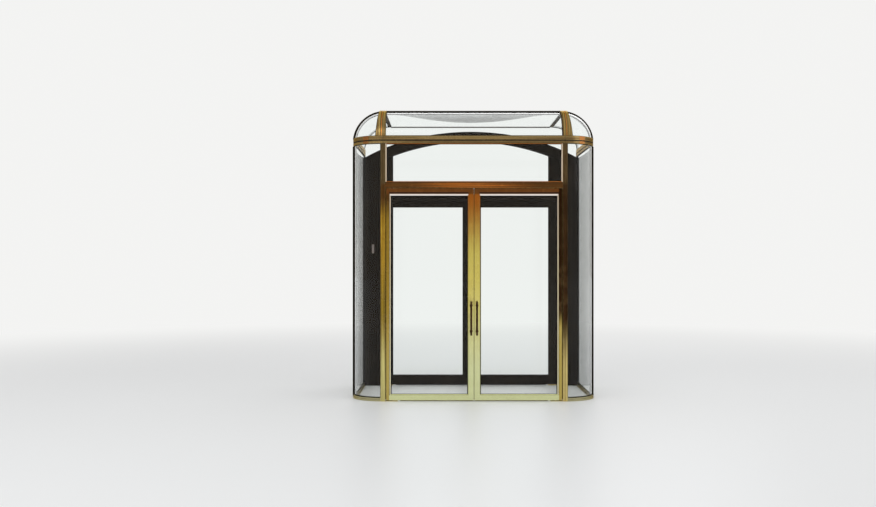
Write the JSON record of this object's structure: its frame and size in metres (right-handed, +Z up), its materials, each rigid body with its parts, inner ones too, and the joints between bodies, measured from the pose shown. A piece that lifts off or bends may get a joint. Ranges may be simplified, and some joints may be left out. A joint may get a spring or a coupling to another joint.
{
  "type": "glazed entrance vestibule",
  "caption": "Glass entrance vestibule with rounded corners and roof in a brass frame, with swing doors to the lobby and dark bronze swing doors under a flat arch at the wall.",
  "frame": {"origin": "middle of the bounding box in plan, on the floor", "axes": "+Z up, +X to the right seen from the lobby, +Y from the lobby towards the wall and the street"},
  "size_m": [2.62, 1.489, 3.11],
  "materials": {
    "polished_brass": "polished brass with fine vertical brushing, hand-worn at the edges",
    "copper_brass": "redder polished brass of the header",
    "dark_bronze": "dark patinated bronze with a satin sheen",
    "black_bronze": "near-black brown anodised bronze, satin",
    "clear_glass": "clear toughened glass with a slight green edge"
  },
  "bodies": {
    "frame": {"base_rail_left": "polished_brass", "base_rail_right": "polished_brass", "front_post_left": "polished_brass", "front_post_right": "polished_brass", "front_beam": "polished_brass", "side_beam_left": "polished_brass", "side_beam_right": "polished_brass", "roof_rib_left": "polished_brass", "roof_rib_right": "polished_brass", "floor_pivots": "polished_brass", "roof_wall_channel": "polished_brass", "door_header": "copper_brass", "side_post_left": "dark_bronze", "side_post_right": "dark_bronze", "wall_post_left": "dark_bronze", "wall_post_right": "dark_bronze", "wall_hoop": "dark_bronze", "roof_front_rail": "dark_bronze", "roof_rail_left": "dark_bronze", "roof_rail_right": "dark_bronze", "corner_arc_left": "dark_bronze", "corner_arc_right": "dark_bronze", "wall_jamb_left": "black_bronze", "wall_jamb_right": "black_bronze", "wall_arch": "black_bronze", "wall_transom": "black_bronze", "fanlight_sides": "black_bronze", "transom_light": "clear_glass", "front_cove_glass": "clear_glass", "roof_glass": "clear_glass", "side_glass_left": "clear_glass", "side_glass_right": "clear_glass", "corner_glass_left": "clear_glass", "corner_glass_right": "clear_glass", "side_cove_glass_left": "clear_glass", "side_cove_glass_right": "clear_glass", "corner_dome_glass_left": "clear_glass", "corner_dome_glass_right": "clear_glass", "fanlight_glass": "clear_glass", "spandrel_glass": "clear_glass"},
    "lobby_door_left": {"lobby_leaf_left": "polished_brass", "lobby_leaf_glass_left": "clear_glass", "lobby_pulls_left": "polished_brass"},
    "lobby_door_right": {"lobby_leaf_right": "polished_brass", "lobby_leaf_glass_right": "clear_glass", "lobby_pulls_right": "polished_brass"},
    "wall_door_left": {"wall_leaf_left": "black_bronze", "wall_leaf_glass_left": "clear_glass", "wall_pulls_left": "black_bronze"},
    "wall_door_right": {"wall_leaf_right": "black_bronze", "wall_leaf_glass_right": "clear_glass", "wall_pulls_right": "black_bronze"}
  },
  "joints": [
    {"name": "lobby_door_left_swing", "type": "hinge", "parent": "frame", "child": "lobby_door_left", "pos_m": [-0.859, -0.67, 0.02], "axis": [0, 0, 1], "range_deg": [-90, 90]},
    {"name": "lobby_door_right_swing", "type": "hinge", "parent": "frame", "child": "lobby_door_right", "pos_m": [0.859, -0.67, 0.02], "axis": [0, 0, -1], "range_deg": [-90, 90]},
    {"name": "wall_door_left_swing", "type": "hinge", "parent": "frame", "child": "wall_door_left", "pos_m": [-0.974, 0.67, 0.02], "axis": [0, 0, 1], "range_deg": [0, 90]},
    {"name": "wall_door_right_swing", "type": "hinge", "parent": "frame", "child": "wall_door_right", "pos_m": [0.974, 0.67, 0.02], "axis": [0, 0, -1], "range_deg": [0, 90]}
  ]
}
